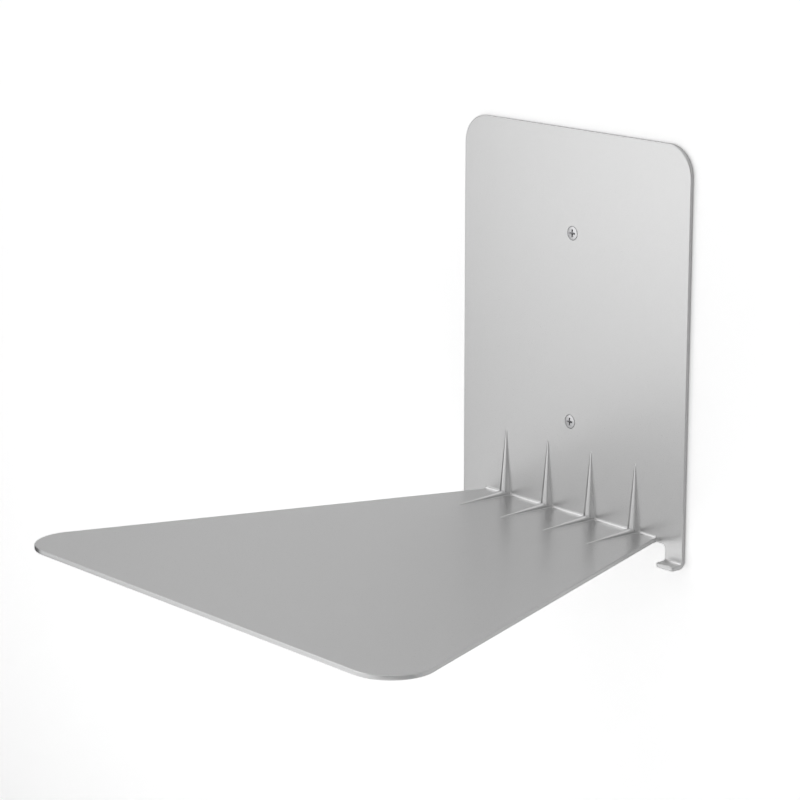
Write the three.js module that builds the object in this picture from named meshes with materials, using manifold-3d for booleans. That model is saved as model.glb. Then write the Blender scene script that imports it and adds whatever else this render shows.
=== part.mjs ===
// A concealed book shelf: one bent steel sheet, screwed to the wall, that carries a stack of books.
// The books hide it, because the bottom book's cover hangs below the shelf plate on two small hooks.
// Millimetres, +X right, +Y into the wall, +Z up.
// The origin is on the wall face of the sheet, on its centreline, midway between the two screws.
import * as THREE from "three";
import { mergeVertices } from "three/addons/utils/BufferGeometryUtils.js";
import Module from "manifold-3d";

// Steel sheet
const sheetThickness = 1.6;
const edgeRadius = 0.4;

// Wall plate, whose rise is counted from the shelf's top face
const plateWidth = 107;
const plateRise = 131.5;
const plateCornerRadius = 10.2;

// Shelf plate: as wide as its fold at the wall, and flared towards the front
const shelfReach = 163.5;
const shelfFlare = THREE.MathUtils.degToRad(19.65);
const shelfCornerRadius = 14.1;
const shelfFoldRadius = 1;

// Stiffening darts, pressed into the corner from behind: proud on the inside, hollow on the outside.
// Each stands forwards of the wall plate and up from the shelf plate, and so does its hollow behind them.
const dartCount = 4;
const dartRise = 23.2;
const dartRun = 21.5;
const dartHalfWidth = 2.35;
const dartForward = 2.3;
const dartUpward = 1.5;
const dartCrestRadius = 2.1;
const hollowHalfWidth = 1.4;
const hollowForward = 2.4;
const hollowUpward = 1.6;
const hollowCrestRadius = 0.7;
const hollowSetback = 1;
const dartPointDepth = 0.15;

// Hooks: a leg at each lower corner of the wall plate, folded forwards to hold the book's cover
const legWidth = 7.9;
const hookDrop = 6.6;
const hookReach = 6;
const hookFoldRadius = 0.8;
const hookCornerRadius = 1.1;

// Relief between a leg and the shelf plate, with a slit that frees the end of the fold
const reliefWidth = 3.85;
const reliefDrop = 1.45;
const reliefCornerRadius = 1.6;
const reliefSlitWidth = 0.25;

// Screws: cross-recessed, with raised countersunk heads, their length counted below the plate's face
const screwPitch = 64.7;
const lowerScrewRise = 31.8;
const screwLength = 28;
const screwPointLength = 3;
const shankDiameter = 2.4;
const headDiameter = 4.6;
const headRimHeight = 0.2;
const headDomeHeight = 0.4;
const recessSpan = 2.9;
const recessWingWidth = 0.75;
const recessDepth = 1.9;

// Wall plugs: split nylon plugs with barbs, and two fins that stop them from turning
const plugLength = 25;
const plugDiameter = 5.4;
const plugNeckLength = 6;
const plugBarbCount = 6;
const plugBarbDepth = 0.45;
const plugTipDrop = 0.5;
const plugSlotWidth = 0.9;
const plugFinHeight = 0.9;
const plugFinWidth = 1;
const plugFinLength = 4.5;

// Clearance between pieces, and how far a cutter runs past what it cuts
const seatClearance = 0.3;
const overrun = 0.5;

// Facets
const cornerSegments = 10;
const foldSegments = 6;
const edgeSegments = 2;
const crestSegments = 5;
const domeSegments = 4;
const roundSegments = 28;

// Places and fits that several pieces share
const shelfTop = -(lowerScrewRise + screwPitch / 2);
const hookTop = shelfTop - hookDrop;
const plateSide = plateWidth / 2;
const legInner = plateSide - legWidth;
const foldEnd = legInner - reliefWidth;
const dartPitch = (2 * foldEnd) / dartCount;
const shelfFold = { radius: shelfFoldRadius, start: shelfTop + shelfFoldRadius };
const hookFold = { radius: hookFoldRadius, start: hookTop + hookFoldRadius };
const headRadius = headDiameter / 2;
const shankRadius = shankDiameter / 2;
const headConeDepth = headRadius - shankRadius;
const boreRadius = shankRadius + seatClearance;

const wasm = await Module();
wasm.setup();

// A closed geometry as a solid that can be joined and cut
function solidFrom(geometry) {
  const bare = geometry.clone();
  bare.deleteAttribute("normal");
  bare.deleteAttribute("uv");
  const merged = mergeVertices(bare);
  const corners = merged.index.array;
  const triangles = [];
  for (let i = 0; i < corners.length; i += 3) {
    const [a, b, c] = corners.subarray(i, i + 3);
    if (a !== b && b !== c && c !== a) triangles.push(a, b, c);
  }
  const mesh = new wasm.Mesh({
    numProp: 3,
    vertProperties: merged.attributes.position.array,
    triVerts: new Uint32Array(triangles),
  });
  return new wasm.Manifold(mesh);
}

// The same solid back as a geometry, with flat facets
function geometryFrom(solid) {
  const mesh = solid.getMesh();
  const geometry = new THREE.BufferGeometry();
  geometry.setAttribute("position", new THREE.BufferAttribute(mesh.vertProperties, 3));
  geometry.setIndex(new THREE.BufferAttribute(mesh.triVerts, 1));
  const facets = geometry.toNonIndexed();
  facets.computeVertexNormals();
  return facets;
}

function geometryOf(positions, index) {
  const geometry = new THREE.BufferGeometry();
  geometry.setAttribute("position", new THREE.Float32BufferAttribute(positions, 3));
  return geometry.setIndex(index);
}

// The length of sheet that a fold's quarter turn takes up, along the middle of its thickness
function foldLength(fold) {
  return (Math.PI / 2) * (fold.radius + sheetThickness / 2);
}

// Where a point that ends up in front of the wall, at y, lies on the flat blank below its fold
function blankZ(fold, y) {
  return fold.start - foldLength(fold) + fold.radius + sheetThickness + y;
}

// Folds a point of the flat blank: x across it, z along it, and a depth from its wall face
function folded({ x, z, fold }, depth) {
  const turnY = -(fold.radius + sheetThickness);
  const arm = fold.radius + sheetThickness - depth;
  const past = fold.start - z;
  if (past <= 0) return [x, -depth, z];
  const angle = (Math.PI / 2) * Math.min(1, past / foldLength(fold));
  const beyond = Math.max(0, past - foldLength(fold));
  return [x, turnY + arm * Math.cos(angle) - beyond, fold.start - arm * Math.sin(angle)];
}

// Points on an arc of the blank, both ends included
function arc(fold, centreX, centreZ, radius, from, to) {
  return Array.from({ length: cornerSegments + 1 }, (_, i) => {
    const angle = THREE.MathUtils.lerp(from, to, i / cornerSegments);
    return { fold, x: centreX + radius * Math.cos(angle), z: centreZ + radius * Math.sin(angle) };
  });
}

// The stations across a fold, from its start to its end
function stations(fold, x) {
  return Array.from({ length: foldSegments + 1 }, (_, i) => (
    { fold, x, z: fold.start - (foldLength(fold) * i) / foldSegments }
  ));
}

// The right half of the blank's outline, from the front of the shelf plate round to the top of the wall plate
function rightHalf() {
  const quarter = Math.PI / 2;
  const flareStartY = -(sheetThickness + shelfFoldRadius + edgeRadius);
  const cornerY = shelfCornerRadius - shelfReach;
  const sideX = foldEnd + (flareStartY - cornerY) * Math.tan(shelfFlare);
  const cornerX = sideX - shelfCornerRadius / Math.cos(shelfFlare);
  const cornerZ = blankZ(shelfFold, cornerY);
  const slitX = foldEnd + reliefSlitWidth;
  const slitEnd = shelfFold.start + edgeRadius + reliefSlitWidth;
  const reliefTop = shelfTop - reliefDrop;
  const reliefX = legInner - reliefCornerRadius;
  const hookX = [legInner + hookCornerRadius, plateSide - hookCornerRadius];
  const hookZ = blankZ(hookFold, hookCornerRadius - hookReach);
  const crownX = plateSide - plateCornerRadius;
  const crownZ = shelfTop + plateRise - plateCornerRadius;
  return {
    front: [
      ...arc(shelfFold, cornerX, cornerZ, shelfCornerRadius, -quarter, shelfFlare),
      { fold: shelfFold, x: foldEnd, z: blankZ(shelfFold, flareStartY) },
    ],
    root: stations(shelfFold, foldEnd).reverse(),
    relief: [
      { fold: hookFold, x: foldEnd, z: slitEnd },
      { fold: hookFold, x: slitX, z: slitEnd },
      { fold: hookFold, x: slitX, z: reliefTop },
      ...arc(hookFold, reliefX, reliefTop - reliefCornerRadius, reliefCornerRadius, quarter, 0),
    ],
    legInside: stations(hookFold, legInner),
    tab: [
      ...arc(hookFold, hookX[0], hookZ, hookCornerRadius, -2 * quarter, -quarter),
      ...arc(hookFold, hookX[1], hookZ, hookCornerRadius, -quarter, 0),
    ],
    legOutside: stations(hookFold, plateSide).reverse(),
    crown: arc(hookFold, crownX, crownZ, plateCornerRadius, 0, quarter),
  };
}

// The other half, walked the other way, so that each of its stretches carries on the outline
function leftHalf(right) {
  const flip = (points) => points.map((point) => ({ ...point, x: -point.x })).reverse();
  return Object.fromEntries(Object.entries(right).map(([name, points]) => [name, flip(points)]));
}

// The blank cut at its fold lines into panels that each stay flat, or nearly so, when it is folded
function panelsOf(right, left) {
  const last = foldSegments;
  const panels = [
    [...right.front, right.root[0], left.root[last], ...left.front],
    [right.root[last], ...right.relief, right.legInside[0], right.legOutside[last], ...right.crown,
      ...left.crown, left.legOutside[0], left.legInside[last], ...left.relief, left.root[0]],
    [right.legInside[last], ...right.tab, right.legOutside[0]],
    [left.legOutside[last], ...left.tab, left.legInside[0]],
  ];
  for (let i = 0; i < last; i += 1) {
    const mirror = last - i;
    panels.push(
      [right.root[i], right.root[i + 1], left.root[mirror - 1], left.root[mirror]],
      [right.legInside[i], right.legInside[i + 1], right.legOutside[mirror - 1], right.legOutside[mirror]],
      [left.legInside[i], left.legInside[i + 1], left.legOutside[mirror - 1], left.legOutside[mirror]],
    );
  }
  return panels;
}

// The blank's outline drawn in by an inset, each corner along its mitre
function insetOutline(outline, inset) {
  const count = outline.length;
  return outline.map((point, i) => {
    const before = outline[(i + count - 1) % count];
    const after = outline[(i + 1) % count];
    const inwards = (from, to) => new THREE.Vector2(from.z - to.z, to.x - from.x).normalize();
    const a = inwards(before, point);
    const b = inwards(point, after);
    const mitre = a.clone().add(b).multiplyScalar(inset / (1 + a.dot(b)));
    return { ...point, x: point.x + mitre.x, z: point.z + mitre.y };
  });
}

// The whole sheet: its blank with rounded edges, folded at the shelf and at both hooks
function foldedSheet() {
  const right = rightHalf();
  const left = leftHalf(right);
  const outline = [...Object.values(right).flat(), ...Object.values(left).reverse().flat()];
  const number = new Map(outline.map((point, i) => [point, i]));
  const rounding = Array.from({ length: edgeSegments + 1 }, (_, i) => {
    const angle = (Math.PI / 2) * (i / edgeSegments);
    return { inset: edgeRadius * (1 - Math.sin(angle)), depth: edgeRadius * (1 - Math.cos(angle)) };
  });
  const rings = [
    ...rounding,
    ...rounding.map(({ inset, depth }) => ({ inset, depth: sheetThickness - depth })).reverse(),
  ];
  const positions = [];
  rings.forEach(({ inset, depth }) => {
    insetOutline(outline, inset).forEach((point) => positions.push(...folded(point, depth)));
  });
  const count = outline.length;
  const frontFace = (rings.length - 1) * count;
  const index = [];
  for (let ring = 0; ring < frontFace; ring += count) {
    for (let i = 0; i < count; i += 1) {
      const a = ring + i;
      const b = ring + ((i + 1) % count);
      index.push(a, b, b + count, a, b + count, a + count);
    }
  }
  const inner = insetOutline(outline, edgeRadius);
  panelsOf(right, left).forEach((panel) => {
    const numbers = panel.map((point) => number.get(point));
    const flat = numbers.map((i) => new THREE.Vector2(inner[i].x, inner[i].z));
    THREE.ShapeUtils.triangulateShape(flat, []).forEach((triangle) => {
      const [a, b, c] = triangle.map((i) => numbers[i]);
      index.push(c, b, a, frontFace + a, frontFace + b, frontFace + c);
    });
  });
  return geometryOf(positions, index);
}

// A dart's section: flanks that pass through its width at the face, a rounded crest, and a root below the face
function dartSection(halfWidth, height, crestRadius, root) {
  const crestY = height - crestRadius;
  const spread = Math.acos(crestRadius / Math.hypot(halfWidth, crestY)) - Math.atan2(crestY, halfWidth);
  const rootX = halfWidth + root * Math.tan(spread);
  const section = [new THREE.Vector2(-rootX, -root), new THREE.Vector2(rootX, -root)];
  for (let i = 0; i <= crestSegments; i += 1) {
    const angle = THREE.MathUtils.lerp(spread, Math.PI - spread, i / crestSegments);
    section.push(new THREE.Vector2(crestRadius * Math.cos(angle), crestY + crestRadius * Math.sin(angle)));
  }
  return section;
}

// A section standing in the corner's mitre plane, drawn in to a point up the wall and a point along the shelf.
// The points lie a little beyond the face, so that the dart fades out at its full rise and run.
function dartBody(section, forward, upward, rise, run) {
  const top = upward + (rise - upward) * (1 + dartPointDepth / forward);
  const front = forward + (run - forward) * (1 + dartPointDepth / upward);
  const positions = section.flatMap(({ x, y }) => [x, -y, (y * upward) / forward]);
  positions.push(0, dartPointDepth, top, 0, -front, -dartPointDepth);
  const count = section.length;
  const index = section.flatMap((_, i) => {
    const next = (i + 1) % count;
    return [next, i, count, i, next, count + 1];
  });
  return geometryOf(positions, index);
}

// What a dart adds inside the corner
function dartRidge(x) {
  const section = dartSection(dartHalfWidth, dartForward, dartCrestRadius, sheetThickness / 3);
  const body = dartBody(section, dartForward, dartUpward, dartRise, dartRun);
  return solidFrom(body.translate(x, -sheetThickness, shelfTop));
}

// What the same dart takes away outside the corner
function dartHollow(x) {
  const section = dartSection(hollowHalfWidth, hollowForward, hollowCrestRadius, overrun);
  const shorter = sheetThickness - hollowSetback;
  const body = dartBody(section, hollowForward, hollowUpward, dartRise + shorter, dartRun + shorter);
  return solidFrom(body.translate(x, 0, shelfTop - sheetThickness));
}

// A clearance hole with its countersink, cut from the plate's front face
function screwHole(z) {
  const countersinkRadius = headRadius + seatClearance;
  const geometry = new THREE.LatheGeometry([
    new THREE.Vector2(0, -overrun),
    new THREE.Vector2(countersinkRadius + overrun, -overrun),
    new THREE.Vector2(boreRadius, headConeDepth),
    new THREE.Vector2(boreRadius, sheetThickness + overrun),
    new THREE.Vector2(0, sheetThickness + overrun),
  ], roundSegments);
  return solidFrom(geometry.translate(0, -sheetThickness, z));
}

function makeBracket() {
  let bracket = solidFrom(foldedSheet());
  for (let i = 0; i < dartCount; i += 1) {
    const x = dartPitch * (i - (dartCount - 1) / 2);
    bracket = bracket.add(dartRidge(x)).subtract(dartHollow(x));
  }
  [screwPitch / 2, -screwPitch / 2].forEach((z) => {
    bracket = bracket.subtract(screwHole(z));
  });
  return geometryFrom(bracket);
}

// The cross recess at the head's face: four wings, each with its two outer corners and the root beside it
function crossOutline() {
  const wing = recessWingWidth / 2;
  const tip = recessSpan / 2;
  const centre = new THREE.Vector2();
  return [0, 1, 2, 3].flatMap((turns) => [[tip, -wing], [tip, wing], [wing, wing]].map(([x, y]) => (
    new THREE.Vector2(x, y).rotateAround(centre, turns * (Math.PI / 2))
  )));
}

// The recess: the cross drawn in to a point below the head's top
function crossRecess(top) {
  const outline = crossOutline();
  const positions = outline.flatMap(({ x, y }) => [x, top, -y]);
  positions.push(0, top + recessDepth, 0);
  const index = outline.flatMap((_, i) => [i, (i + 1) % outline.length, outline.length]);
  THREE.ShapeUtils.triangulateShape(outline, []).forEach(([a, b, c]) => index.push(c, b, a));
  return solidFrom(geometryOf(positions, index));
}

function makeScrew() {
  const headTop = -headRimHeight - headDomeHeight;
  const profile = [];
  for (let i = 0; i <= domeSegments; i += 1) {
    const share = i / domeSegments;
    profile.push(new THREE.Vector2(headRadius * share, headTop + headDomeHeight * share ** 2));
  }
  profile.push(
    new THREE.Vector2(headRadius, 0),
    new THREE.Vector2(shankRadius, headConeDepth),
    new THREE.Vector2(shankRadius, screwLength - screwPointLength),
    new THREE.Vector2(0, screwLength),
  );
  const body = solidFrom(new THREE.LatheGeometry(profile, roundSegments));
  return geometryFrom(body.subtract(crossRecess(headTop)));
}

// One fin beside the plug's neck, rising away from its mouth, on the side that a turn about its axis gives
function plugFin(turn) {
  const foot = boreRadius + seatClearance;
  const face = plugDiameter / 2;
  const outline = new THREE.Shape([
    new THREE.Vector2(foot, 0),
    new THREE.Vector2(face, 0),
    new THREE.Vector2(face + plugFinHeight, plugFinLength),
    new THREE.Vector2(foot, plugFinLength),
  ]);
  const geometry = new THREE.ExtrudeGeometry(outline, { depth: plugFinWidth, bevelEnabled: false });
  geometry.translate(0, plugNeckLength - plugFinLength, -plugFinWidth / 2);
  return solidFrom(geometry.rotateY(turn));
}

function makePlug() {
  const radius = plugDiameter / 2;
  const barbPitch = (plugLength - plugNeckLength) / plugBarbCount;
  const profile = [new THREE.Vector2(radius, 0)];
  for (let i = 0; i < plugBarbCount; i += 1) {
    const start = plugNeckLength + i * barbPitch;
    const barbRadius = radius - (plugTipDrop * i) / plugBarbCount;
    profile.push(new THREE.Vector2(barbRadius, start));
    profile.push(new THREE.Vector2(barbRadius - plugBarbDepth, start + barbPitch));
  }
  profile.push(new THREE.Vector2(boreRadius, plugLength), new THREE.Vector2(boreRadius, 0));
  profile.push(profile[0].clone());
  const slotLength = plugLength - plugNeckLength + overrun;
  const slot = new THREE.BoxGeometry(plugSlotWidth, slotLength, plugDiameter + overrun);
  slot.translate(0, plugNeckLength + slotLength / 2, 0);
  const plug = solidFrom(new THREE.LatheGeometry(profile, roundSegments)).subtract(solidFrom(slot));
  return geometryFrom(plug.add(plugFin(0)).add(plugFin(Math.PI)));
}

const satinSteel = new THREE.MeshStandardMaterial({ color: 0xb9baba, roughness: 0.34, metalness: 0.9 });
const zincSteel = new THREE.MeshStandardMaterial({ color: 0xc6c7c6, roughness: 0.28, metalness: 1 });
const greyNylon = new THREE.MeshStandardMaterial({ color: 0xd4d5d1, roughness: 0.55, metalness: 0 });

const bookShelf = new THREE.Group();

function place(name, geometry, material, y, z) {
  const mesh = new THREE.Mesh(geometry, material);
  mesh.name = name;
  mesh.position.set(0, y, z);
  bookShelf.add(mesh);
}

place("bracket", makeBracket(), satinSteel, 0, 0);
place("upper_screw", makeScrew(), zincSteel, -sheetThickness, screwPitch / 2);
place("lower_screw", makeScrew(), zincSteel, -sheetThickness, -screwPitch / 2);
place("upper_wall_plug", makePlug(), greyNylon, seatClearance, screwPitch / 2);
place("lower_wall_plug", makePlug(), greyNylon, seatClearance, -screwPitch / 2);

export default bookShelf;
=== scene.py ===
from math import atan2, cos, floor, pi, radians, sin, sqrt, tan

import bmesh
import bpy
from mathutils import Euler, Matrix, Vector
from mathutils.geometry import interpolate_bezier


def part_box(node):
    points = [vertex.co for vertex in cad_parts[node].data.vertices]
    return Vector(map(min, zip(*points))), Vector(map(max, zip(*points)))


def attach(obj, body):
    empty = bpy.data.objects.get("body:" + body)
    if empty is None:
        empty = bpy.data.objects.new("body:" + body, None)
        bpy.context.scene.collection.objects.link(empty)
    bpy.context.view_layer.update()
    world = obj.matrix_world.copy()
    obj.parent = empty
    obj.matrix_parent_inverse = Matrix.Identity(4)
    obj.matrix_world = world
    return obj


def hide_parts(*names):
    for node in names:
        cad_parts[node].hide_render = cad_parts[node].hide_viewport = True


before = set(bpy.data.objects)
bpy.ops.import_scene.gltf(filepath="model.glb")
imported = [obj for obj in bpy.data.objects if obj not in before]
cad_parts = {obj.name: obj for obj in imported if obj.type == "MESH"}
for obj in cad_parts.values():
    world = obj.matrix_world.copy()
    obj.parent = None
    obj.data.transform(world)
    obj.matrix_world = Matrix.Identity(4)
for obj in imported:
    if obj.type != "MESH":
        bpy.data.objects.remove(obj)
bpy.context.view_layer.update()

# Wall plugs
# Two split plugs, moulded of grey nylon and pushed into holes drilled in the wall before the bracket goes up.
# Barbs and two fins hold each one fast, and its slot lets the screw spread it.
mm = 0.001
screw_places = {"upper": 32.35, "lower": -32.35}
plug_mouth = 0.3
plug_length = 25
plug_radius = 2.7
plug_bore = 1.5
neck_length = 6
barb_count = 6
barb_depth = 0.45
barb_rounding = 0.12
tip_drop = 0.5
slot_width = 0.9
fin_height = 0.9
fin_width = 1
fin_length = 4.5
fin_root = 1.8
round_steps = 36
close = 1e-3
smooth_angle = radians(35)


def edit(piece):
    """Opens a piece in edit mode, with nothing else selected."""
    leave_edit()
    bpy.ops.object.select_all(action="DESELECT")
    piece.select_set(True)
    bpy.context.view_layer.objects.active = piece
    bpy.ops.object.mode_set(mode="EDIT")


def leave_edit():
    """Closes the piece that is open in edit mode, if there is one."""
    if bpy.context.object and bpy.context.object.mode == "EDIT":
        bpy.ops.object.mode_set(mode="OBJECT")


def start_outline(name, start):
    """A new piece in edit mode: one vertex, from which its outline is drawn."""
    data = bpy.data.meshes.new(name)
    data.from_pydata([start], [], [])
    piece = bpy.data.objects.new(name, data)
    bpy.context.scene.collection.objects.link(piece)
    edit(piece)
    bpy.ops.mesh.select_mode(type="VERT")
    bpy.ops.mesh.select_all(action="SELECT")
    return piece


def line_to(**to):
    """Extrudes the last vertex to new values of some of its coordinates."""
    mesh = bmesh.from_edit_mesh(bpy.context.object.data)
    here = next(vertex.co.copy() for vertex in mesh.verts if vertex.select)
    there = Vector(to.get(axis, getattr(here, axis)) for axis in "xyz")
    bpy.ops.mesh.extrude_vertices_move(TRANSFORM_OT_translate={"value": there - here})


def turn_outline():
    """Spins the whole outline once round the Y axis, and closes the seam."""
    bpy.ops.mesh.select_all(action="SELECT")
    bpy.ops.mesh.spin(steps=round_steps, angle=2 * pi, center=(0, 0, 0), axis=(0, 1, 0))
    bpy.ops.mesh.select_all(action="SELECT")
    bpy.ops.mesh.remove_doubles(threshold=close)
    bpy.ops.mesh.normals_make_consistent(inside=False)
    leave_edit()


def fill_outline():
    """Joins the ends of an outline and fills it with one face."""
    bpy.ops.mesh.select_all(action="SELECT")
    bpy.ops.mesh.remove_doubles(threshold=close)
    bpy.ops.mesh.edge_face_add()


def extrude_face(x=0, y=0, z=0):
    """Extrudes the face just filled, which leaves its far end selected."""
    bpy.ops.mesh.extrude_region_move(TRANSFORM_OT_translate={"value": (x, y, z)})


def close_solid():
    """Turns a solid's faces outwards and leaves edit mode."""
    bpy.ops.mesh.select_all(action="SELECT")
    bpy.ops.mesh.normals_make_consistent(inside=False)
    leave_edit()


def apply_modifier(piece, kind, **settings):
    """Puts one modifier on a piece and applies it."""
    leave_edit()
    bpy.ops.object.select_all(action="DESELECT")
    piece.select_set(True)
    bpy.context.view_layer.objects.active = piece
    modifier = piece.modifiers.new(kind.lower(), kind)
    for name, value in settings.items():
        setattr(modifier, name, value)
    bpy.ops.object.modifier_apply(modifier=modifier.name)


def combine(piece, operation, other):
    """Adds another solid to a piece, or cuts it away."""
    apply_modifier(piece, "BOOLEAN", operation=operation, object=other, solver="EXACT")
    bpy.data.objects.remove(other)


def grained_material(name, tone, metallic, roughness, grain, spread, peel, height):
    """A material whose tone and roughness vary with a fine grain, over a soft waviness. Lengths are in mm."""
    material = bpy.data.materials.new(name)
    material.use_nodes = True
    tree = material.node_tree
    shader = tree.nodes["Principled BSDF"]
    shader.inputs["Metallic"].default_value = metallic
    place = tree.nodes.new("ShaderNodeTexCoord")
    fine = tree.nodes.new("ShaderNodeTexNoise")
    fine.inputs["Scale"].default_value = 1 / (grain * mm)
    fine.inputs["Detail"].default_value = 3
    wavy = tree.nodes.new("ShaderNodeTexNoise")
    wavy.inputs["Scale"].default_value = 1 / (peel * mm)
    wavy.inputs["Detail"].default_value = 1
    for noise in (fine, wavy):
        tree.links.new(place.outputs["Object"], noise.inputs["Vector"])
    colour = tree.nodes.new("ShaderNodeMix")
    colour.data_type = "RGBA"
    colour.inputs["A"].default_value = (*(part * (1 - spread) for part in tone), 1)
    colour.inputs["B"].default_value = (*(part * (1 + spread) for part in tone), 1)
    tree.links.new(fine.outputs["Fac"], colour.inputs["Factor"])
    tree.links.new(colour.outputs["Result"], shader.inputs["Base Color"])
    gloss = tree.nodes.new("ShaderNodeMapRange")
    gloss.inputs["To Min"].default_value = roughness * (1 - 2 * spread)
    gloss.inputs["To Max"].default_value = roughness * (1 + 2 * spread)
    tree.links.new(fine.outputs["Fac"], gloss.inputs["Value"])
    tree.links.new(gloss.outputs["Result"], shader.inputs["Roughness"])
    bump = tree.nodes.new("ShaderNodeBump")
    bump.inputs["Distance"].default_value = height * mm
    tree.links.new(wavy.outputs["Fac"], bump.inputs["Height"])
    tree.links.new(bump.outputs["Normal"], shader.inputs["Normal"])
    return material


def finish_piece(piece, node, material):
    """Smooths a piece, turns its millimetres into metres, and puts it in its node's place."""
    leave_edit()
    bpy.ops.object.select_all(action="DESELECT")
    piece.select_set(True)
    bpy.context.view_layer.objects.active = piece
    bpy.ops.object.shade_smooth_by_angle(angle=smooth_angle)
    apply_modifier(piece, "WEIGHTED_NORMAL", keep_sharp=True)
    piece.data.transform(Matrix.Scale(mm, 4))
    piece.data.materials.clear()
    piece.data.materials.append(material)
    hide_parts(node)
    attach(piece, "root")


def copy_to(pattern, name, place):
    """A copy of a piece, with a mesh of its own, moved up to the height of a screw."""
    piece = bpy.data.objects.new(name, pattern.data.copy())
    bpy.context.scene.collection.objects.link(piece)
    piece.data.transform(Matrix.Translation((0, 0, place)))
    return piece


plug = start_outline("plug", (plug_bore, plug_mouth, 0))
line_to(x=plug_radius - barb_rounding)
line_to(x=plug_radius, y=plug_mouth + barb_rounding)
line_to(y=plug_mouth + neck_length)
barb_pitch = (plug_length - neck_length) / barb_count
for barb in range(barb_count):
    barb_radius = plug_radius - tip_drop * barb / barb_count
    barb_start = plug_mouth + neck_length + barb * barb_pitch
    line_to(x=barb_radius - barb_rounding, y=barb_start + barb_rounding / 4)
    line_to(x=barb_radius, y=barb_start + barb_rounding)
    line_to(x=barb_radius - barb_depth, y=barb_start + barb_pitch)
line_to(x=plug_bore)
line_to(y=plug_mouth)
turn_outline()

slot_cutter = start_outline("slot_cutter", (-slot_width / 2, plug_mouth + neck_length, -2 * plug_radius))
line_to(x=slot_width / 2)
line_to(y=2 * plug_length)
line_to(x=-slot_width / 2)
fill_outline()
extrude_face(z=4 * plug_radius)
close_solid()
combine(plug, "DIFFERENCE", slot_cutter)

for side in (-1, 1):
    fin = start_outline("fin", (side * fin_root, plug_mouth + neck_length, -fin_width / 2))
    line_to(x=side * (plug_radius + fin_height))
    line_to(x=side * plug_radius, y=plug_mouth + neck_length - fin_length)
    line_to(x=side * fin_root)
    fill_outline()
    extrude_face(z=fin_width)
    close_solid()
    combine(plug, "UNION", fin)

grey_nylon = grained_material(
    "grey_nylon", tone=(0.46, 0.46, 0.45), metallic=0, roughness=0.5,
    grain=0.6, spread=0.06, peel=1.5, height=0.03,
)
nylon_shader = grey_nylon.node_tree.nodes["Principled BSDF"]
nylon_shader.inputs["Subsurface Weight"].default_value = 0.3
nylon_shader.inputs["Subsurface Scale"].default_value = mm
for level, place in screw_places.items():
    piece = copy_to(plug, level + "_plug", place)
    finish_piece(piece, level + "_wall_plug", grey_nylon)
bpy.data.objects.remove(plug)

# Bracket
# One sheet of steel, 1.6 mm thick, cut and bent: wall plate, shelf plate, two legs with hooks, four darts.
# It is modelled in millimetres as its right half's front face, then mirrored, thickened and pressed.
sheet = 1.6
rim_rounding = 0.4
rim_steps = 3
fold_steps = 12
corner_step = radians(5.5)
rim_angle = radians(60)

plate_side = 53.5
plate_corner = 10.2
shelf_fold = 1.0
fold_end = 41.75
flare = radians(19.65)
flare_start = 0.4
shelf_corner = 14.1
leg_inside = 45.6
relief_drop = 1.45
relief_corner = 1.6
hook_drop = 6.6
hook_fold = 0.8
hook_corner = 1.1
hook_reach = 6.0
bore_radius = 1.5
countersink_radius = 2.42

bracket_low, bracket_high = (Vector(corner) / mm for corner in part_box("bracket"))
plate_front = -sheet
plate_top = bracket_high.z
shelf_front = bracket_low.y
shelf_top = bracket_low.z + sheet + hook_drop
hook_top = shelf_top - hook_drop
shelf_fold_line = shelf_top + shelf_fold
hook_fold_line = hook_top + hook_fold


def select(kind, test):
    """Selects the open mesh's vertices, edges or faces whose middle passes a test."""
    bpy.ops.mesh.select_mode(type={"verts": "VERT", "edges": "EDGE", "faces": "FACE"}[kind])
    bpy.ops.mesh.select_all(action="DESELECT")
    mesh = bmesh.from_edit_mesh(bpy.context.object.data)
    for element in getattr(mesh, kind):
        if kind == "verts":
            middle = element.co
        else:
            middle = sum((vertex.co for vertex in element.verts), Vector()) / len(element.verts)
        if test(middle):
            element.select = True
    mesh.select_flush_mode()
    bmesh.update_edit_mesh(bpy.context.object.data)


def arc_about(centre, angle, axis):
    """Spins the last vertex round a centre into an arc of edges. The operator itself turns clockwise."""
    steps = max(2, round(abs(angle) / corner_step))
    bpy.ops.mesh.spin(steps=steps, angle=-angle, center=centre, axis=axis)


def join(first, *others):
    """Joins other pieces to the first one."""
    leave_edit()
    bpy.ops.object.select_all(action="DESELECT")
    for piece in (first, *others):
        piece.select_set(True)
    bpy.context.view_layer.objects.active = first
    bpy.ops.object.join()


# The wall plate with its leg, from the fold round to the centreline, with half of each screw hole
down_the_front = Vector((0, 1, 0))
relief_top = shelf_top - relief_drop
wall_plate = start_outline("bracket_sheet", (0, plate_front, shelf_fold_line))
line_to(x=fold_end)
line_to(z=relief_top)
line_to(x=leg_inside - relief_corner)
arc_about((leg_inside - relief_corner, plate_front, relief_top - relief_corner), pi / 2, down_the_front)
line_to(z=hook_fold_line)
line_to(x=plate_side)
line_to(z=plate_top - plate_corner)
arc_about((plate_side - plate_corner, plate_front, plate_top - plate_corner), -pi / 2, down_the_front)
line_to(x=0)
for place in screw_places.values():
    line_to(z=place + bore_radius)
    arc_about((0, plate_front, place), pi, down_the_front)
fill_outline()

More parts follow.
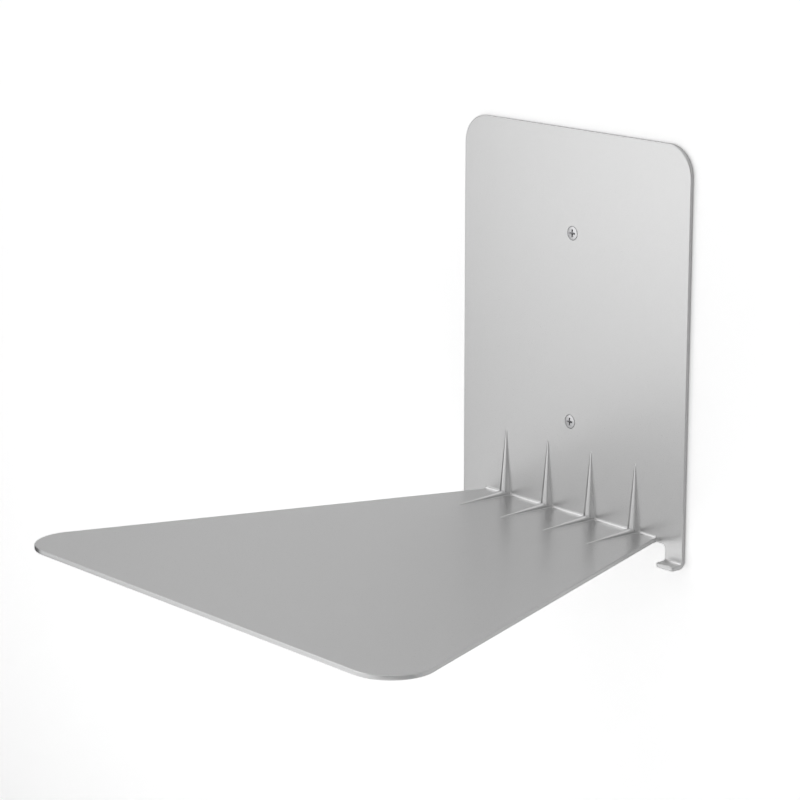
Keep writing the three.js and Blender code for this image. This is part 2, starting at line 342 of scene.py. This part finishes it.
# The shelf plate, which flares from its fold to a rounded front corner
root = plate_front - shelf_fold
side_at_corner = fold_end + (root - flare_start - shelf_front - shelf_corner) * tan(flare)
corner_x = side_at_corner - shelf_corner / cos(flare)
corner_centre = Vector((corner_x, shelf_front + shelf_corner, shelf_top))
side_end = corner_centre + shelf_corner * Vector((cos(flare), sin(flare), 0))
shelf_plate = start_outline("shelf_plate", (0, root, shelf_top))
line_to(x=fold_end)
line_to(y=root - flare_start)
line_to(x=side_end.x, y=side_end.y)
arc_about(corner_centre, -pi / 2 - flare, Vector((0, 0, 1)))
line_to(x=0)
fill_outline()

# The hook's flat tab
hook_front = hook_corner - hook_reach
hook_plate = start_outline("hook_plate", (leg_inside, plate_front - hook_fold, hook_top))
line_to(y=hook_front)
arc_about((leg_inside + hook_corner, hook_front, hook_top), pi / 2, Vector((0, 0, 1)))
line_to(x=plate_side - hook_corner)
arc_about((plate_side - hook_corner, hook_front, hook_top), pi / 2, Vector((0, 0, 1)))
line_to(y=plate_front - hook_fold)
fill_outline()

# Room for the darts: a fine grid round each, on both plates
dart_count = 4
dart_pitch = 2 * fold_end / dart_count
dart_rise = 23.2
dart_run = 22
dart_room = 4.3
dart_end_room = 1.5
dart_columns = 16
right_darts = [dart_pitch * (i + 0.5) for i in range(dart_count // 2)]


def cut(piece, along, place, test):
    """Cuts the faces that pass a test by a plane across one axis."""
    edit(piece)
    select("faces", test)
    normal = Vector((along == "x", along == "y", along == "z"))
    bpy.ops.mesh.bisect(plane_co=normal * place, plane_no=normal, threshold=close / 100)


def grid_the_darts(piece, along, end, test):
    """Cuts a plate across, and grids the room of its darts on the fold's side of the cut."""
    cut(piece, along, end, lambda middle: True)
    for centre in right_darts:
        for side in (centre - dart_room, centre + dart_room):
            cut(piece, "x", side, test)
    for centre in right_darts:
        select("faces", lambda middle: test(middle) and abs(middle.x - centre) < dart_room / 2)
        bpy.ops.mesh.subdivide(number_cuts=2 * dart_columns - 1)
    leave_edit()


wall_end = shelf_top + dart_rise + dart_end_room
shelf_end = plate_front - dart_run - dart_end_room
grid_the_darts(wall_plate, "z", wall_end, lambda middle: middle.z < wall_end)
grid_the_darts(shelf_plate, "y", shelf_end, lambda middle: middle.y > shelf_end)

# The folds are spun from the wall plate's lower edges, and meet the shelf plate and the tab
edit(wall_plate)
select("edges", lambda middle: abs(middle.z - shelf_fold_line) < close and middle.x < fold_end)
bpy.ops.mesh.spin(steps=fold_steps, angle=pi / 2, center=(0, root, shelf_fold_line), axis=(1, 0, 0))
select("edges", lambda middle: abs(middle.z - hook_fold_line) < close and middle.x > leg_inside)
hook_root = plate_front - hook_fold
bpy.ops.mesh.spin(steps=fold_steps, angle=pi / 2, center=(0, hook_root, hook_fold_line), axis=(1, 0, 0))
bracket = wall_plate
join(bracket, shelf_plate, hook_plate)
edit(bracket)
bpy.ops.mesh.select_all(action="SELECT")
bpy.ops.mesh.remove_doubles(threshold=close)
bpy.ops.mesh.normals_make_consistent(inside=False)
leave_edit()
if max(bracket.data.polygons, key=lambda face: face.area).normal.dot(Vector((0, -1, 1))) < 0:
    bracket.data.flip_normals()

# Both halves, and the sheet's thickness behind them
apply_modifier(bracket, "MIRROR", use_axis=(True, False, False), use_clip=True, merge_threshold=close)
apply_modifier(bracket, "SOLIDIFY", thickness=sheet, offset=-1, use_even_offset=True)


# The rims are rounded, as a tumbled sheet's are
def on_a_rounded_rim(middle):
    """Tells a rounded rim from the holes' edges and from the shear cut beside the fold."""
    reach = min(abs(middle.z - place) for place in screw_places.values())
    in_a_hole = max(abs(middle.x), reach) < 2 * bore_radius
    beside_the_fold = abs(abs(middle.x) - fold_end) < close
    on_the_cut = beside_the_fold and middle.y > plate_front - close and middle.z > relief_top
    return not in_a_hole and not on_the_cut


edit(bracket)
bpy.ops.mesh.select_mode(type="EDGE")
bpy.ops.mesh.select_all(action="DESELECT")
bpy.ops.mesh.edges_select_sharp(sharpness=rim_angle)
mesh = bmesh.from_edit_mesh(bracket.data)
for edge in mesh.edges:
    if edge.select and not on_a_rounded_rim((edge.verts[0].co + edge.verts[1].co) / 2):
        edge.select = False
mesh.select_flush_mode()
bmesh.update_edit_mesh(bracket.data)
bpy.ops.mesh.bevel(offset=rim_rounding, segments=rim_steps, profile=0.5, clamp_overlap=False)

# Countersinks: the front of each hole is widened
widen = countersink_radius / bore_radius
for place in screw_places.values():
    middle_of_hole = Vector((0, plate_front, place))
    select("verts", lambda middle: (middle - middle_of_hole).length < bore_radius + close)
    bpy.ops.transform.resize(value=(widen, 1, widen), center_override=middle_of_hole)
leave_edit()

# The darts are pressed into the corner from behind: a ridge in front and a narrower hollow on the back.
# Two curves draw each half section: the crest's gentle roof with its shoulder, then the flank with its foot.
roof_steps = 7
flank_steps = 5


def half_section(crest, roof, shoulder, flank, flank_end, foot, edge):
    """Points of a dart's half section. Each one is a distance from its middle line, and a height."""
    upper = interpolate_bezier(crest, roof, shoulder, flank, roof_steps)
    lower = interpolate_bezier(flank, flank_end, foot, edge, flank_steps + 1)
    return [Vector(point[:2]) for point in upper + lower[1:]]


ridge_section = half_section(
    crest=(0, 2.22), roof=(1.5, 1.78), shoulder=(1.58, 1.8), flank=(1.94, 0.96),
    flank_end=(2.2, 0.42), foot=(2.38, 0), edge=(2.68, 0),
)
hollow_section = half_section(
    crest=(0, 2.3), roof=(0.6, 2.1), shoulder=(0.85, 1.5), flank=(1.08, 0.8),
    flank_end=(1.25, 0.3), foot=(1.3, 0), edge=(1.5, 0),
)
foot_share = (len(ridge_section) - 1) / dart_columns
upward_share = 0.65
corner_blend = 8
tip_size = 0.13
tip_fade = 1.1
tip_length = 0.04


def dart_section(section, share):
    """How far a point of a full-size dart is from its middle line, and how high it stands."""
    column = share * dart_columns
    before = min(floor(column), len(section) - 2)
    return section[before].lerp(section[before + 1], column - before)


# A dart dwindles towards both its tips. In front it grows out of the sharp corner of the two plates, so the
# fold's rounding is taken out below it.
for vertex in bracket.data.vertices:
    place = vertex.co
    centre = (floor(place.x / dart_pitch) + 0.5) * dart_pitch
    share = abs(place.x - centre) / dart_room
    if share > 1 - close or abs(place.x) > fold_end:
        continue
    from_fold = Vector((place.y - root, place.z - shelf_fold_line)).length
    on_front = place.y < plate_front + sheet / 2 and place.z > shelf_top - sheet / 2
    if place.y > root and place.z < shelf_fold_line:
        on_front = from_fold < shelf_fold + sheet / 2
    section = ridge_section if on_front else hollow_section
    rise = place.z - shelf_top + (0 if on_front else sheet)
    run = (plate_front if on_front else 0) - place.y
    left = max(1 - max(rise / dart_rise, run / dart_run), 0)
    size = tip_size + (1 - tip_size) * left
    height = sharper = 0
    if share < foot_share:
        across, height = dart_section(section, share)
        across *= size
        height *= size ** tip_fade * sqrt(1 - max(0, 1 - left / tip_length) ** 2)
        if on_front:
            sharper = min(rise, run) * min(1, corner_blend * (foot_share - share))
    else:
        foot = section[-1].x * size
        across = foot + (dart_room - foot) * (share - foot_share) / (1 - foot_share)
    across = across if place.x > centre else -across
    vertex.co = (
        centre + across,
        place.y - height + sharper,
        place.z + upward_share * height - sharper,
    )

# Satin silver: a fine metallic powder coat, with a slight orange peel
satin_silver = grained_material(
    "satin_silver", tone=(0.7, 0.7, 0.7), metallic=1, roughness=0.28,
    grain=0.25, spread=0.03, peel=2.2, height=0.003,
)
finish_piece(bracket, "bracket", satin_silver)

# Screws
# Two zinc-plated steel screws with low raised countersunk heads, a cross recess and a rolled thread.
# They clamp the wall plate against the wall and bite into the plugs.
head_radius = 2.25
head_rim = 0.04
head_edge = 0.08
dome_height = 0.1
dome_steps = 5
shank_radius = 1.2
point_length = 3
screw_length = 28
thread_radius = 1.42
thread_pitch = 1.2
thread_half_width = 0.34
thread_start = 4
turn_steps = 24
recess_span = 2.7
recess_width = 0.65
recess_depth = 1.5
recess_taper = 0.45

head_top = plate_front - head_rim - dome_height
screw_tip = plate_front + screw_length
shank_end = screw_tip - point_length
screw = start_outline("screw", (0, head_top, 0))
dome_reach = head_radius - head_edge
for step in range(dome_steps):
    share = (step + 1) / dome_steps
    line_to(x=dome_reach * share, y=head_top + dome_height * share ** 2)
line_to(x=head_radius, y=plate_front - head_rim + head_edge)
line_to(x=head_radius, y=plate_front + head_edge)
line_to(x=shank_radius, y=plate_front + head_radius - shank_radius)
line_to(y=shank_end)
line_to(x=0, y=screw_tip)
turn_outline()

for across, up in ((recess_span, recess_width), (recess_width, recess_span)):
    cutter = start_outline("recess_cutter", (-across / 2, head_top - head_rim, -up / 2))
    line_to(x=across / 2)
    line_to(z=up / 2)
    line_to(x=-across / 2)
    fill_outline()
    extrude_face(y=recess_depth + head_rim)
    bpy.ops.transform.resize(value=(recess_taper, 1, recess_taper), center_override=(0, 0, 0))
    close_solid()
    combine(screw, "DIFFERENCE", cutter)

# The thread: a triangle, rooted in the shank and wound round it
thread_root = shank_radius - thread_half_width / 2
thread = start_outline("thread", (thread_root, thread_start - thread_half_width, 0))
line_to(x=thread_radius, y=thread_start)
line_to(x=thread_root, y=thread_start + thread_half_width)
line_to(y=thread_start - thread_half_width)
bpy.ops.mesh.select_all(action="SELECT")
bpy.ops.mesh.remove_doubles(threshold=close)
turns = floor((shank_end - thread_start) / thread_pitch)
winding = {"axis": "Y", "screw_offset": thread_pitch, "iterations": turns}
apply_modifier(thread, "SCREW", steps=turn_steps, render_steps=turn_steps, **winding)
edit(thread)
bpy.ops.mesh.select_all(action="SELECT")
bpy.ops.mesh.remove_doubles(threshold=close)
bpy.ops.mesh.select_all(action="SELECT")
bpy.ops.mesh.fill_holes(sides=3)
close_solid()
join(screw, thread)

zinc_plate = grained_material(
    "zinc_plate", tone=(0.7, 0.7, 0.71), metallic=1, roughness=0.3,
    grain=0.12, spread=0.05, peel=0.5, height=0.002,
)
for level, place in screw_places.items():
    piece = copy_to(screw, level + "_cross_screw", place)
    finish_piece(piece, level + "_screw", zinc_plate)
bpy.data.objects.remove(screw)

# Camera
# It stands to the right of the shelf and a little above it, with a long lens, as in the photograph.
camera_place = (0.682706, -0.667835, 0.205170)
camera_heading = radians(49.153)
camera_dip = radians(13.579)
photo_width_px = 800
focal_length_px = 2898.911

camera_data = bpy.data.cameras.new("camera")
camera_data.lens = focal_length_px / photo_width_px * camera_data.sensor_width
camera = bpy.data.objects.new("camera", camera_data)
camera.location = camera_place
camera.rotation_euler = Euler((pi / 2 - camera_dip, 0, camera_heading))
bpy.context.scene.collection.objects.link(camera)
bpy.context.scene.camera = camera

# Stage
# A white wall and a pale floor, both seen from their front sides only, two softboxes, two low lights and four
# dull boards. An opening in the wall, hidden by the plate, lets light reach the plate's back.
wall_grey = 0.84
wall_white = 1
wall_lift = 0.355
wall_size = 6
wall_gap = 0.0003
opening_side = 0.052
opening_bottom = -0.0625
opening_top = 0.0658
opening_corner = 0.0087
corner_steps = 8
floor_white = 0.8
floor_size = 9
floor_level = -0.32
world_grey = 0.7


def plain_material(name, grey):
    """A matt paint that can't be seen from behind."""
    material = bpy.data.materials.new(name)
    material.use_nodes = True
    tree = material.node_tree
    shader = tree.nodes["Principled BSDF"]
    shader.inputs["Base Color"].default_value = (grey, grey, grey, 1)
    shader.inputs["Roughness"].default_value = 1
    shader.inputs["Specular IOR Level"].default_value = 0
    geometry = tree.nodes.new("ShaderNodeNewGeometry")
    clear = tree.nodes.new("ShaderNodeBsdfTransparent")
    side = tree.nodes.new("ShaderNodeMixShader")
    tree.links.new(geometry.outputs["Backfacing"], side.inputs[0])
    tree.links.new(shader.outputs["BSDF"], side.inputs[1])
    tree.links.new(clear.outputs["BSDF"], side.inputs[2])
    tree.links.new(side.outputs["Shader"], tree.nodes["Material Output"].inputs["Surface"])
    return material


bpy.ops.mesh.primitive_plane_add(size=wall_size, location=(0, wall_gap, 0), rotation=(pi / 2, 0, 0))
wall = bpy.context.object
wall.name = "wall"
bpy.ops.object.transform_apply(location=True, rotation=True, scale=True)
for side in (-opening_side, opening_side):
    cut(wall, "x", side, lambda middle: True)
for height in (opening_bottom, opening_top):
    cut(wall, "z", height, lambda middle: True)
select("faces", lambda middle: abs(middle.x) < opening_side and opening_bottom < middle.z < opening_top)
bpy.ops.mesh.delete(type="FACE")
top_corner = Vector((opening_side, wall_gap, opening_top))
select("verts", lambda middle: (Vector((abs(middle.x), middle.y, middle.z)) - top_corner).length < wall_gap)
bpy.ops.mesh.bevel(offset=opening_corner, segments=corner_steps, affect="VERTICES")
leave_edit()

# For the camera alone the wall is lifted to white, which puts no more light on the shelf
wall_paint = plain_material("wall_paint", wall_grey)
tree = wall_paint.node_tree
wall_shader = tree.nodes["Principled BSDF"]
light_path = tree.nodes.new("ShaderNodeLightPath")
wall_colour = tree.nodes.new("ShaderNodeMix")
wall_colour.data_type = "RGBA"
wall_colour.inputs["A"].default_value = (wall_grey, wall_grey, wall_grey, 1)
wall_colour.inputs["B"].default_value = (wall_white, wall_white, wall_white, 1)
tree.links.new(light_path.outputs["Is Camera Ray"], wall_colour.inputs["Factor"])
tree.links.new(wall_colour.outputs["Result"], wall_shader.inputs["Base Color"])
wall_glow = tree.nodes.new("ShaderNodeMath")
wall_glow.operation = "MULTIPLY"
wall_glow.inputs[1].default_value = wall_lift
tree.links.new(light_path.outputs["Is Camera Ray"], wall_glow.inputs[0])
tree.links.new(wall_glow.outputs["Value"], wall_shader.inputs["Emission Strength"])
wall_shader.inputs["Emission Color"].default_value = (1, 1, 1, 1)
wall.data.materials.append(wall_paint)

bpy.ops.mesh.primitive_plane_add(size=floor_size, location=(0, 0, floor_level))
ground = bpy.context.object
ground.name = "floor"
ground.data.materials.append(plain_material("floor_paint", floor_white))

world = bpy.data.worlds.new("world")
bpy.context.scene.world = world
world.use_nodes = True
background = world.node_tree.nodes["Background"]
background.inputs["Color"].default_value = (world_grey, world_grey, world_grey, 1)
background.inputs["Strength"].default_value = 1


def direction(azimuth, elevation):
    """A direction seen from the object: the azimuth is counted from its left side round to its front."""
    turn = radians(azimuth)
    lift = radians(elevation)
    return Vector((-cos(turn) * cos(lift), -sin(turn) * cos(lift), sin(lift)))


lamp_aim = Vector((0, -0.05, 0))


def softbox(name, place, size, radiance, rotation=None):
    """A rectangular lamp of a given brightness, that faces the object unless a rotation is given."""
    data = bpy.data.lights.new(name, "AREA")
    data.shape = "RECTANGLE"
    data.size, data.size_y = size
    data.energy = 4 * radiance * size[0] * size[1]
    lamp = bpy.data.objects.new(name, data)
    lamp.location = place
    lamp.rotation_euler = rotation or (lamp_aim - place).to_track_quat("-Z", "Y").to_euler()
    bpy.context.scene.collection.objects.link(lamp)


softbox("key", direction(25, 46) * 1.6, (1.6, 0.9), 0.58)
softbox("fill", direction(70, -3) * 1.7, (1.96, 0.64), 0.48)
just_above_floor = Vector((0, 0, floor_level + 0.005))
glow_place = direction(40, 0) * 1.72 + direction(130, 0) * 0.75 + just_above_floor
softbox("floor_glow", glow_place, (2.95, 1.5), 0.2, Euler((pi, 0, radians(40))))
softbox("low_wash", Vector((0, -0.36, 0)) + just_above_floor, (0.9, 0.4), 0.35, Euler((pi, 0, 0)))


def board(name, azimuth, distance, width, bottom, top, grey):
    """An upright board that faces the object, between two heights."""
    place = direction(azimuth, 0) * distance + Vector((0, 0, (bottom + top) / 2))
    bpy.ops.mesh.primitive_plane_add(size=1, location=place)
    card = bpy.context.object
    card.name = name
    card.scale = (width, top - bottom, 1)
    card.rotation_euler = (pi / 2, 0, atan2(place.y, place.x) - pi / 2)
    bpy.ops.object.transform_apply(location=True, rotation=True, scale=True)
    card.data.materials.append(plain_material(name + "_cloth", grey))


board("left_flag", azimuth=18, distance=0.7, width=0.36, bottom=-0.31, top=0.34, grey=0.12)
board("right_flag", azimuth=167, distance=0.8, width=0.36, bottom=-0.31, top=0.46, grey=0.65)
board("camera_flag", azimuth=140, distance=1.45, width=1.4, bottom=0.05, top=1.05, grey=0.3)
board("upper_flag", azimuth=88, distance=1.5, width=1.0, bottom=0.34, top=0.95, grey=0.4)

bpy.context.scene.view_settings.view_transform = "Standard"
